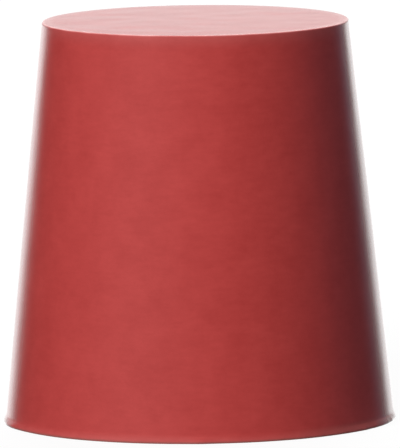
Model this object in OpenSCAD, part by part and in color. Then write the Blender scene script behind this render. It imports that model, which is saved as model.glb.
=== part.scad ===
// Solid laboratory stopper, moulded in one piece from red rubber.
// It stands on its large end, and the axis of its taper is Z.
// The mould closes at the large end, and what is left of the flash that was
// trimmed there stands out as a thin lip around the foot.

/* [Body] */
// Diameter of the small end, taken to the sharp corner
small_end_d = 23; // [16:0.5:27]
// Diameter of the large end, taken on the taper and without the flash
large_end_d = 29.2; // [27:0.1:36]
// Length from one end face to the other
length = 30; // [12:1:60]

/* [Rim of the small end] */
// Radius that breaks the corner between the side and the end face
rim_r = 0.15; // [0.05:0.05:2]

/* [Flash at the large end] */
// How far the flash stands out from the large end's diameter
flash_out = 0.1; // [0.05:0.05:0.5]
// Height of the flash's upright outer face
flash_h = 0.2; // [0.15:0.05:0.8]
// Radius of the hollow flare between the side and the flash
flare_r = 0.4; // [0.2:0.05:2]
// Radius of the flash's lower corner
foot_r = 0.05; // [0.02:0.01:0.14]

/* [Hidden] */
rubber_red = [0.70, 0.26, 0.24];
turn_steps = 180; // flats of the preview, around the axis
arc_steps = 8;    // straight steps along each rounded corner

small_end_r = small_end_d / 2;
large_end_r = large_end_d / 2;
flash_r = large_end_r + flash_out;

// Angle between the side and the axis, which is also how far the side faces up
taper = atan((large_end_r - small_end_r) / length);

// Points along an arc, from one angle to another
function arc(centre, radius, from, to) =
    [for (i = [0:arc_steps])
        let (angle = from + (to - from) * i / arc_steps)
        centre + radius * [cos(angle), sin(angle)]];

// Lower corner of the flash, from the base to the upright face
function foot_corner() = arc([flash_r - foot_r, foot_r], foot_r, -90, 0);

// Hollow flare, from the top of the flash to where it runs into the side.
// It turns until it has covered the flash's distance from the side, or until
// it lies level, and then the flash has a level shelf.
flash_reach = flash_out * cos(taper) + flash_h * sin(taper);
flare_turn = min(90 - taper, acos(max(-1, 1 - flash_reach / flare_r)));
flare_top = flash_h + flare_r * (sin(taper + flare_turn) - sin(taper));
flare_centre = [
    large_end_r - flare_top * tan(taper) + flare_r * cos(taper),
    flare_top + flare_r * sin(taper)
];

function flare() = arc(flare_centre, flare_r, 180 + taper + flare_turn, 180 + taper);

// Rim of the small end, from the side to the end face
function rim_corner() =
    arc([small_end_r - rim_r * (1 - sin(taper)) / cos(taper), length - rim_r], rim_r,
        taper, 90);

// Half section of the stopper, with the axis at x = 0
module section() {
    base_centre = [0, 0];
    flash_top = [flash_r, flash_h];
    top_centre = [0, length];
    polygon(concat([base_centre], foot_corner(), [flash_top], flare(), rim_corner(),
                   [top_centre]));
}

module stopper() {
    color(rubber_red)
        rotate_extrude($fn = turn_steps)
            section();
}

stopper();
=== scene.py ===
import math

import bmesh
import bpy
from mathutils import Matrix, Vector, noise


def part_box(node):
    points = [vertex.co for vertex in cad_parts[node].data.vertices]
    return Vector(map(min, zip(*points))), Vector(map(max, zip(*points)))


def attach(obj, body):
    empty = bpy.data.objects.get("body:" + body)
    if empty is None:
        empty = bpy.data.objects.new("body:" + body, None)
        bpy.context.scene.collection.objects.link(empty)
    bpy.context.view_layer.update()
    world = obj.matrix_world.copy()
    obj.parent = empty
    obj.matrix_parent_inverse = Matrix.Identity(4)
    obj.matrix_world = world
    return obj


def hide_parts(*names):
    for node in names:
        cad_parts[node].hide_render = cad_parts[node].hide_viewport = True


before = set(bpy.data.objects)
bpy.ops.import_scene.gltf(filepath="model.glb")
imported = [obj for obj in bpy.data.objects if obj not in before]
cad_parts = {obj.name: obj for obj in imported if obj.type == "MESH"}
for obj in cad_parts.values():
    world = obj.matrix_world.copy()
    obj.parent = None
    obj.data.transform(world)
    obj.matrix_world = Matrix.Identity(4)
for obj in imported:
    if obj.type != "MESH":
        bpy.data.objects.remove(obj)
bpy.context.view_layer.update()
low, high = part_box("stopper")
mm = 0.001                       # the mesh is made in millimetres, then brought to metres
cornerGap = 1e-3                 # a vertex this near to a corner of the outline belongs to it
mergeGap = 1e-5                  # and vertices this near to each other become one


class Wire:
    # A socket of a shader tree. Arithmetic on wires adds Math nodes.
    def __init__(self, tree, socket=None):
        self.tree = tree
        self.socket = socket

    def node(self, kind, settings, inputs, out=0):
        # Any other node: its settings first, then the values or links of its inputs
        made = self.tree.nodes.new(kind)
        for name, value in settings.items():
            if name == "stops":
                fillRamp(made.color_ramp, value)
            else:
                setattr(made, name, value)
        for name, value in inputs.items():
            if isinstance(value, Wire):
                self.tree.links.new(value.socket, made.inputs[name])
            else:
                made.inputs[name].default_value = value
        return Wire(self.tree, made.outputs[out])

    def math(self, operation, *values, clamp=False):
        return self.node("ShaderNodeMath", {"operation": operation, "use_clamp": clamp},
                         dict(enumerate(values)))

    def __add__(self, other):
        return self.math("ADD", self, other)

    def __radd__(self, other):
        return self.math("ADD", other, self)

    def __sub__(self, other):
        return self.math("SUBTRACT", self, other)

    def __rsub__(self, other):
        return self.math("SUBTRACT", other, self)

    def __mul__(self, other):
        return self.math("MULTIPLY", self, other)

    def __rmul__(self, other):
        return self.math("MULTIPLY", other, self)

    def __truediv__(self, other):
        return self.math("DIVIDE", self, other)

    def __rtruediv__(self, other):
        return self.math("DIVIDE", other, self)

    def __abs__(self):
        return self.math("ABSOLUTE", self)


def fillRamp(ramp, stops):
    # Stops are (place, grey), and the ramp starts with two of its own
    ramp.interpolation = "EASE"
    while len(ramp.elements) < len(stops):
        ramp.elements.new(0.5)
    for element, (place, grey) in zip(ramp.elements, stops):
        element.position = place
        element.color = (grey, grey, grey, 1)


def emptyTree(owner, outputKind):
    # A material's or the world's tree: the wire that its nodes are added through, and the socket
    # of what it shows
    owner.use_nodes = True
    tree = owner.node_tree
    tree.nodes.clear()
    return Wire(tree), tree.nodes.new(outputKind).inputs["Surface"]


def axisOf(place, axis):
    return place.node("ShaderNodeSeparateXYZ", {}, {"Vector": place}, axis)


def distanceOf(place):
    return place.node("ShaderNodeVectorMath", {"operation": "LENGTH"}, {0: place}, "Value")


def timesVector(place, factors):
    return place.node("ShaderNodeVectorMath", {"operation": "MULTIPLY"}, {0: place, 1: factors})


def noiseOf(place, settings):
    return place.node("ShaderNodeTexNoise", {}, {"Vector": place, **settings}, "Fac")


def fade(value, start, end, first=0.0, last=1.0, easing="SMOOTHSTEP"):
    # Goes from first to last while the value goes from start to end
    return value.node("ShaderNodeMapRange", {"interpolation_type": easing},
                      {"Value": value, "From Min": start, "From Max": end,
                       "To Min": first, "To Max": last})


def laidOver(below, above, share):
    # One colour over another. Each is a wire or three numbers.
    below, above = [colour if isinstance(colour, Wire) else (*colour, 1) for colour in (below, above)]
    return share.node("ShaderNodeMix", {"data_type": "RGBA", "clamp_factor": True},
                      {"Factor": share, "A": below, "B": above}, "Result")


stopper = {
    "smallEnd": 23.0,            # diameter, to the sharp corner
    "flashOut": 0.1,             # flash beyond the large end's radius
    "flashHeight": 0.14,
    "flareTop": 0.5,             # height at which the side gives way to the flash's slope
    # Size of each rounded corner, and its segments
    "footCorner": (0.045, 3),
    "flashCorner": (0.04, 2),
    "flareCorner": (0.2, 7),
    "rimCorner": (0.13, 5),
    "steps": 480,                # round the axis
    "sideRings": 56,
    "faceRings": 40,
    "stretch": 1.0017,           # it came out of the mould this much longer
    # Depth and width of each unevenness, and its place in the noise
    "swell": (0.02, 9.0, 5.1),   # the side's slow one
    "ripple": (0.006, 1.6, 8.7),
    "faceRelief": (0.024, 2.6, 3.3),
    "trim": (0.025, 2.4, 31.7),  # the trimmer's waver along the flash
    "nick": (0.02, 0.45, 12.3),  # small tears in the flash
    "sideGrip": 24,              # power by which the side's unevenness dies out over the end faces
    "faceDepth": 0.01,           # what lies this little under the top is the end face
    "faceDome": 0.05,            # how far that face stands up in the middle
    "faceFall": (0.012, 1.6),    # how far it falls off toward its rim, and over what width
    "trimmedHeight": 0.42,       # up to which the waver and the nicks reach
    # Where more of the flash was left: angle, reach and width in degrees
    "nubs": [(-90.4, 0.13, 3.0), (-33.0, 0.06, 1.6), (-163.0, 0.15, 9.0), (-24.0, 0.11, 14.0)],
}


def ringEdges(bm, radius, height):
    # The edges that run round the axis at one corner of the outline
    def onCorner(vert):
        inRadius = abs(math.hypot(vert.co.x, vert.co.y) - radius) < cornerGap
        return inRadius and abs(vert.co.z - height) < cornerGap
    return [edge for edge in bm.edges if all(onCorner(vert) for vert in edge.verts)]


def roundRing(bm, radius, height, size, segments):
    bmesh.ops.bevel(bm, geom=ringEdges(bm, radius, height), offset=size, segments=segments,
                    affect="EDGES", profile=0.5, material=-1, clamp_overlap=True)


def sideRadius(shape, width, length, height):
    # Radius of the tapered side at a height, without the flash
    largeRadius = width / 2 - shape["flashOut"]
    return largeRadius + (shape["smallEnd"] / 2 - largeRadius) * height / length


def turnStopper(shape, width, length):
    # The half outline, from the centre of the base to the centre of the top, turned round Z
    flashRadius = width / 2
    smallRadius = shape["smallEnd"] / 2
    flareRadius = sideRadius(shape, width, length, shape["flareTop"])
    outline = [(0, 0), (flashRadius, 0), (flashRadius, shape["flashHeight"]),
               (flareRadius, shape["flareTop"]), (smallRadius, length), (0, length)]
    bm = bmesh.new()
    corners = [bm.verts.new((radius, 0, height)) for radius, height in outline]
    base, _, _, side, top = [bm.edges.new(pair) for pair in zip(corners, corners[1:])]
    for edge, rings in ((base, shape["faceRings"]), (side, shape["sideRings"]),
                        (top, shape["faceRings"])):
        bmesh.ops.subdivide_edges(bm, edges=[edge], cuts=rings)
    bmesh.ops.spin(bm, geom=bm.verts[:] + bm.edges[:], cent=(0, 0, 0), axis=(0, 0, 1),
                   angle=math.tau, steps=shape["steps"], use_merge=True)
    bmesh.ops.remove_doubles(bm, verts=bm.verts, dist=mergeGap)
    roundRing(bm, flashRadius, 0, *shape["footCorner"])
    roundRing(bm, flashRadius, shape["flashHeight"], *shape["flashCorner"])
    roundRing(bm, flareRadius, shape["flareTop"], *shape["flareCorner"])
    roundRing(bm, smallRadius, length, *shape["rimCorner"])
    bmesh.ops.recalc_face_normals(bm, faces=bm.faces)
    return bm


def unevenness(point, depth, width, seed):
    return depth * noise.noise(point / width + Vector((seed, 2 * seed, -seed)))


def trimmedEdge(shape, angle, radius):
    # How far the flash is cut back or left proud at an angle round the axis
    along = Vector((math.cos(angle), math.sin(angle), 0)) * radius
    out = unevenness(along, *shape["trim"]) + unevenness(along, *shape["nick"])
    for place, reach, width in shape["nubs"]:
        gap = math.degrees(angle - math.radians(place) + math.pi) % 360 - 180
        out += reach * math.exp(-(gap / width) ** 2)
    return out


def wearStopper(bm, shape, width, length):
    # Small shifts that a moulding and its trimming leave. The base stays flat.
    drop, fallWidth = shape["faceFall"]
    for vert in bm.verts:
        flat = Vector((vert.co.x, vert.co.y, 0))
        radius = flat.length
        outward = flat.normalized()
        reach = sideRadius(shape, width, length, vert.co.z)
        proud = max(0.0, min(1.0, (radius - reach) / shape["flashOut"]))
        if vert.co.z < shape["trimmedHeight"]:
            edge = trimmedEdge(shape, math.atan2(vert.co.y, vert.co.x), width / 2)
            vert.co += outward * edge * proud
        out = unevenness(vert.co, *shape["swell"]) + unevenness(vert.co, *shape["ripple"])
        atSide = min(1.0, radius / reach) ** shape["sideGrip"]
        vert.co += outward * out * atSide * (1 - proud)
        if vert.co.z > length - shape["faceDepth"]:
            inside = min(1.0, (reach - radius) / fallWidth)
            vert.co.z += unevenness(vert.co, *shape["faceRelief"]) * inside
            vert.co.z += shape["faceDome"] * max(0.0, 1 - (radius / reach) ** 2)
            vert.co.z += drop * (1 - (1 - inside) ** 2)
        vert.co.z *= shape["stretch"]


def finishPiece(bm, name, scale):
    bmesh.ops.scale(bm, vec=(scale,) * 3, verts=bm.verts)
    for face in bm.faces:
        face.smooth = True
    mesh = bpy.data.meshes.new(name)
    bm.to_mesh(mesh)
    bm.free()
    piece = bpy.data.objects.new(name, mesh)
    bpy.context.scene.collection.objects.link(piece)
    return piece


rubber = {
    "colour": (0.535, 0.060, 0.055),
    "deep": (0.42, 0.037, 0.034),    # where the moulding looks a little darker
    "mottle": {"Scale": 420, "Detail": 7, "Roughness": 0.72},
    "rings": {"Scale": 2600, "Detail": 4, "Roughness": 0.65},  # that the mould left round the side
    "ringStretch": (0.3, 0.3, 1),    # on X, Y and Z: a small one draws the marks out that way
    "contrast": (1.3, 0.75),         # of the mottle and of the rings
    "patches": (5, -1.8),            # gain and shift that turn the mottle into the patches of the pale edges
    "chalk": (0.66, 0.088, 0.083),   # the end face's film of dust, where it is thick
    "chalkThin": (0.54, 0.058, 0.054),
    "chalkFilm": (3, -1),            # gain and shift from the mottle to the film's thickness
    "chalkDepth": (0.1, 0.02),       # depths under the end face where it starts and is full
    "dust": (0.62, 0.50, 0.49),
    "dustRim": (1.2, 0.05),          # depth and share of it under the small end's rim
    "dustFoot": (0.7, 0.05),         # height and share of it over the foot
    "dustThin": 0.5,                 # added to the mottle that thins the dust in places
    "chalkAndHighlightEdge": {                      # the end face's edge: chalky in patches, and partly a painted highlight
        "colour": (0.72, 0.29, 0.28),
        "share": 0.7,
        "patchy": 0.75,              # how much of it comes and goes with the patches
        "inward": (1.0, 0.3),        # distances from the rim where it starts and is full
    },
    "wornHighlight": {                        # the small end's corner: worn, and a painted highlight along it
        "colour": (0.96, 0.50, 0.49),
        "share": 0.9,
        "patchy": 0.5,
        "inward": (0.3, 0.08),
        "depth": (0.052, 0.015),     # and depths under the end face
    },
    "footShade": {                      # painted shade around the foot, dark brown
        "colour": (0.27, 0.085, 0.07),
        "share": 0.7,
        "corner": (0.22, 0.08),      # heights where it starts and is full, all along the foot
        "endHeight": (0.6, 0.32),    # and the same at the left and right ends
        "ends": (13.3, 14.2),        # how far from their middle those ends start and are full
        "middle": -0.7,              # where that middle lies, across
        "right": (5.0, 12.0),        # a lighter share of it: how far to the right it starts and is full
        "rightHeight": (0.9, 0.4),
        "rightShare": 0.4,
    },
    "specular": 0.5,
    "grazing": (0.5, 0.8),           # facings between which the surface turns from matt to smooth
    "roughness": (0.67, 0.10),       # looked at squarely, and along its outline
    "grain": {"Scale": 5200, "Detail": 3, "Roughness": 0.6},
    "grainStrength": 0.35,
    "grainDepth": 0.00002,           # metres
}


def patchily(patches, settings):
    # The share of a pale edge colour, which is partly painted highlight, of which a part comes and goes
    # with the patches
    return (patches * settings["patchy"] + (1 - settings["patchy"])) * settings["share"]


def bodyColour(look, place, mottle):
    # The moulded rubber, mottled, with the faint rings that the mould left
    rings = noiseOf(timesVector(place, look["ringStretch"]), look["rings"])
    ofMottle, ofRings = look["contrast"]
    even = 0.5 - (ofMottle + ofRings) / 2
    return laidOver(look["deep"], look["colour"], mottle * ofMottle + rings * ofRings + even)


def dustColour(look, body, mottle, height, depth):
    # A trace of dust under the rim and over the foot
    rimDepth, rimShare = look["dustRim"]
    footHeight, footShare = look["dustFoot"]
    dusty = fade(depth, rimDepth, 0, last=rimShare) + fade(height, footHeight, 0, last=footShare)
    return laidOver(body, look["dust"], dusty * (mottle + look["dustThin"]))


def endColour(look, side, mottle, depth, inward):
    # The end face's chalky film, its edge, chalky in patches and partly a painted highlight, and the
    # corner around it, worn and painted with a highlight
    gain, shift = look["chalkFilm"]
    chalky = laidOver(look["chalkThin"], look["chalk"], mottle * gain + shift)
    endFace = fade(depth, *look["chalkDepth"], easing="LINEAR")
    faced = laidOver(side, chalky, endFace)
    gain, shift = look["patches"]
    patches = mottle.math("MULTIPLY_ADD", mottle, gain, shift, clamp=True)
    chalkAndHighlightEdge, wornHighlight = look["chalkAndHighlightEdge"], look["wornHighlight"]
    # The face's edge: chalky patches, and a painted highlight
    edge = endFace * fade(inward, *chalkAndHighlightEdge["inward"])
    faced = laidOver(faced, chalkAndHighlightEdge["colour"], edge * patchily(patches, chalkAndHighlightEdge))
    # The corner: worn, and painted pale as a highlight
    corner = fade(inward, *wornHighlight["inward"]) * fade(depth, *wornHighlight["depth"])
    return laidOver(faced, wornHighlight["colour"], corner * patchily(patches, wornHighlight))


def footColour(footShade, unshaded, across, height):
    # Painted shade along the lower corner, on the flash's ends and on its right side
    ends = fade(abs(across - footShade["middle"]), *footShade["ends"], last=footShade["share"])
    ends = ends * fade(height, *footShade["endHeight"])
    right = fade(across, *footShade["right"], last=footShade["rightShare"])
    right = right * fade(height, *footShade["rightHeight"])
    corner = fade(height, *footShade["corner"], last=footShade["share"])
    flash = ends.math("MAXIMUM", ends, right)
    return laidOver(unshaded, footShade["colour"], corner.math("MAXIMUM", corner, flash))


def rubberMaterial(look, length, rimRadius):
    material = bpy.data.materials.new("moulded red rubber")
    shader, shown = emptyTree(material, "ShaderNodeOutputMaterial")
    place = shader.node("ShaderNodeTexCoord", {}, {}, "Object")
    across, height = [axisOf(place, axis) / mm for axis in "XZ"]
    depth = length - height
    inward = rimRadius - distanceOf(timesVector(place, (1, 1, 0))) / mm
    mottle = noiseOf(place, look["mottle"])
    colour = dustColour(look, bodyColour(look, place, mottle), mottle, height, depth)
    colour = endColour(look, colour, mottle, depth, inward)
    # Painted shade around the foot
    colour = footColour(look["footShade"], colour, across, height)
    bump = shader.node("ShaderNodeBump", {},
                       {"Strength": look["grainStrength"], "Distance": look["grainDepth"],
                        "Height": noiseOf(place, look["grain"])})
    facing = shader.node("ShaderNodeLayerWeight", {}, {}, "Facing")  # 0 squarely, 1 along the outline
    roughness = fade(facing, *look["grazing"], *look["roughness"])
    surface = shader.node("ShaderNodeBsdfPrincipled", {},
                          {"Base Color": colour, "Roughness": roughness,
                           "Specular IOR Level": look["specular"], "Normal": bump})
    shader.tree.links.new(surface.socket, shown)
    return material


width = (high.x - low.x) / mm
length = (high.z - low.z) / mm
mesh = turnStopper(stopper, width, length)
wearStopper(mesh, stopper, width, length)
plug = finishPiece(mesh, "moulded_stopper", mm)
plug.data.materials.append(rubberMaterial(rubber, length * stopper["stretch"], stopper["smallEnd"] / 2))
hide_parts("stopper")
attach(plug, "root")
print("stopper:", len(plug.data.polygons), "faces")


studio = {
    "floorSize": 6.0,            # metres
    "footWhite": 0.9,            # white of the floor that the gloss mirrors right at the foot
    "footGlow": (14.9, 17.5),    # millimetres out from the axis, between which that white fades
    "floorPale": 0.9,            # the floor as the camera sees it
    "floorGrey": 0.02,           # and as the stopper does, so that little of it shines back
    "whiteShare": 0.93,          # of the floor that is plain white, and the rest takes the shadow
    # Degrees from straight behind, and how white the card is there
    "cardFade": [(0, 0.86), (13, 0.88), (20, 1.0), (45, 0.06), (80, 0.0)],
    "cardSide": 0.0147,          # metres: half the stopper's width, where the gloss mirrors it
    "cardWhite": 1.5,            # where the gloss mirrors it in the place of the floor
    # How that fade changes high and low on the side
    "cardBend": {
        "fall": (0.117, 0.103),      # the ray's slope straight behind, and what it loses per radian
        "upper": (18, 30),           # heights between which the upper bend sets in, in millimetres
        "lower": (12, 5),            # and the lower one
        "pivot": 20,                 # degrees at which a faster fade changes nothing
        "upperSteep": (0.12, 0.5),   # how much faster it fades on the left and on the right
        "lowerSteep": 0.06,
        "rightSteep": 0.1,           # and this much faster at every height of the right side
        "upperShift": -2.0,          # degrees by which it all moves inwards, and under 0 outwards
        "lowerShift": 1.6,
        "upperGain": 0.12,           # how much whiter it is high up
    },
    "wallWhite": 0.98,           # where the gloss mirrors it over the floor
    "wallTop": (0.25, 0.65),     # sines of the heights between which the wall's white fades
    "wallShade": 0.25,           # to this share
    "lampDistance": 0.8,         # metres, and so are the lamps' sizes
    "lamps": {
        "key": {"turn": -40, "rise": 30, "size": (0.2, 0.2), "power": 3.5, "mirrored": True},
        "front_fill": {"turn": -12, "rise": 30, "size": (0.2, 0.2), "power": 3.68},
        "rear": {"turn": 180, "rise": 40, "size": (0.35, 0.35), "power": 5.5},
        "rear_right": {"turn": 150, "rise": 25, "size": (0.35, 0.35), "power": 2.5},
        "cool_side": {"turn": 108, "rise": 5, "size": (0.7, 0.7), "power": 0.52,
                      "tint": (0.52, 0.84, 1.0), "mirrored": True},
        "cool_card": {"turn": 116, "rise": 5, "size": (0.7, 0.9), "power": 0.9,
                      "tint": (0.1, 0.5, 1.0), "mirrored": True, "matt": False},
    },
}


def directionAt(turn, rise):
    # Degrees: turn from the front, positive to the right, and rise from the floor
    turn, rise = math.radians(turn), math.radians(rise)
    return Vector((math.sin(turn) * math.cos(rise), -math.cos(turn) * math.cos(rise), math.sin(rise)))


def softbox(name, aim, distance, turn, rise, size, power, tint=(1, 1, 1), mirrored=False, matt=True):
    # mirrored is whether it shows in the gloss, and matt whether it lights the rest
    back = directionAt(turn, rise)
    data = bpy.data.lights.new(name, "AREA")
    data.shape = "RECTANGLE"
    data.size, data.size_y = size
    data.energy = power
    data.color = tint
    lamp = bpy.data.objects.new(name, data)
    lamp.location = aim + back * distance
    lamp.rotation_euler = back.to_track_quat("Z", "Y").to_euler()
    lamp.visible_camera = False
    lamp.visible_glossy = mirrored
    lamp.visible_diffuse = matt
    bpy.context.scene.collection.objects.link(lamp)


def whiteSeen(aside, settings, white):
    # The white card behind, which the gloss mirrors and which fades to a dark room at the sides
    stops = [(angle / 180, share) for angle, share in settings["cardFade"]]
    return white * aside.node("ShaderNodeValToRGB", {"stops": stops}, {"Fac": aside / math.pi}, "Color")


def floorAside(place, reach):
    # The direction, from straight behind, in which the round side mirrors a place on the floor.
    # The ray leaves the side at half that angle, and this is its small-angle solution.
    across, behind = abs(axisOf(place, "X")), axisOf(place, "Y")
    spread = across.math("MAXIMUM", across * 2 - reach / 2, reach)
    root = behind.math("SQRT", behind * behind + spread * (across - reach))
    return (root - behind) * 2 / spread


def bendAside(place, aside, bend):
    # The card fades faster where it is mirrored high or low on the side. The height comes from how
    # far off the place is and how steeply the ray comes down to it.
    straight, perRadian = bend["fall"]
    height = distanceOf(place) * (straight - aside * perRadian) / mm
    upper, lower = fade(height, *bend["upper"]), fade(height, *bend["lower"])
    toRight = place.math("GREATER_THAN", axisOf(place, "X"), 0)
    left, right = bend["upperSteep"]
    steep = 1 + upper * (left + toRight * (right - left))
    steep += lower * bend["lowerSteep"] + toRight * bend["rightSteep"]
    pivot = math.radians(bend["pivot"])
    shift = lower * math.radians(bend["lowerShift"]) + upper * math.radians(bend["upperShift"])
    return (aside - pivot) * steep + shift + pivot, 1 + upper * bend["upperGain"]


def rayKinds(shader):
    # 1 for a ray from the camera, and 1 for a ray from the gloss
    return [shader.node("ShaderNodeLightPath", {}, {}, kind)
            for kind in ("Is Camera Ray", "Is Glossy Ray")]


def layFloor(settings):
    bm = bmesh.new()
    bmesh.ops.create_grid(bm, x_segments=1, y_segments=1, size=settings["floorSize"] / 2)
    floor = finishPiece(bm, "floor", 1)
    material = bpy.data.materials.new("pale floor")
    shader, shown = emptyTree(material, "ShaderNodeOutputMaterial")
    place = shader.node("ShaderNodeTexCoord", {}, {}, "Object")
    isCamera, isGlossy = rayKinds(shader)
    grey = isCamera * (settings["floorPale"] - settings["floorGrey"]) + settings["floorGrey"]
    matt = shader.node("ShaderNodeBsdfDiffuse", {}, {"Color": grey})
    aside = floorAside(place, settings["cardSide"])
    aside, gain = bendAside(place, aside, settings["cardBend"])
    behind = whiteSeen(aside, settings, settings["cardWhite"]) * gain
    atFoot = fade(distanceOf(place) / mm, *settings["footGlow"], first=settings["footWhite"], last=0.0)
    card = shader.node("ShaderNodeEmission", {}, {"Strength": shader.math("MAXIMUM", behind, atFoot)})
    white = shader.node("ShaderNodeEmission", {}, {"Strength": 1.0})
    seenWhite = isCamera * settings["whiteShare"]
    lit = shader.node("ShaderNodeMixShader", {}, {0: seenWhite, 1: matt, 2: white})
    mixed = shader.node("ShaderNodeMixShader", {}, {0: isGlossy, 1: lit, 2: card})
    shader.tree.links.new(mixed.socket, shown)
    floor.data.materials.append(material)


def lightWorld(settings):
    world = bpy.data.worlds.new("white surround")
    bpy.context.scene.world = world
    shader, shown = emptyTree(world, "ShaderNodeOutputWorld")
    direction = shader.node("ShaderNodeTexCoord", {}, {}, "Generated")
    isCamera, isGlossy = rayKinds(shader)
    across, behind, up = [axisOf(direction, axis) for axis in "XYZ"]
    aside = shader.math("ARCTAN2", abs(across), behind)
    wall = fade(up, *settings["wallTop"], first=1.0, last=settings["wallShade"])
    strength = isCamera + isGlossy * wall * whiteSeen(aside, settings, settings["wallWhite"])
    background = shader.node("ShaderNodeBackground", {}, {"Color": (1, 1, 1, 1), "Strength": strength})
    shader.tree.links.new(background.socket, shown)


centre = (low + high) / 2
layFloor(studio)
lightWorld(studio)
for name, lamp in studio["lamps"].items():
    softbox(name, centre, studio["lampDistance"], **lamp)
print("studio: floor, surround and", len(studio["lamps"]), "lamps")


view = {
    "elevation": 6.71,
    "roll": -0.678,
    "distance": 0.93,            # metres
    "scale": 0.033616,           # metres: height of the picture at the stopper's axis
    "shift": (0.182, -0.327),    # millimetres right and up from the stopper's centre
}


def placeCamera(settings, aim):
    back = directionAt(0, settings["elevation"])
    roll = Matrix.Rotation(math.radians(settings["roll"]), 3, "Z")
    turn = back.to_track_quat("Z", "Y").to_matrix() @ roll
    data = bpy.data.cameras.new("camera")
    data.lens = data.sensor_width * settings["distance"] / settings["scale"]
    camera = bpy.data.objects.new("camera", data)
    across, up = (x * mm for x in settings["shift"])
    camera.location = aim + back * settings["distance"] + turn @ Vector((across, up, 0))
    camera.rotation_euler = turn.to_euler()
    bpy.context.scene.collection.objects.link(camera)
    bpy.context.scene.camera = camera


placeCamera(view, centre)
bpy.context.scene.view_settings.view_transform = "Standard"
print("camera:", view["distance"], "m away")
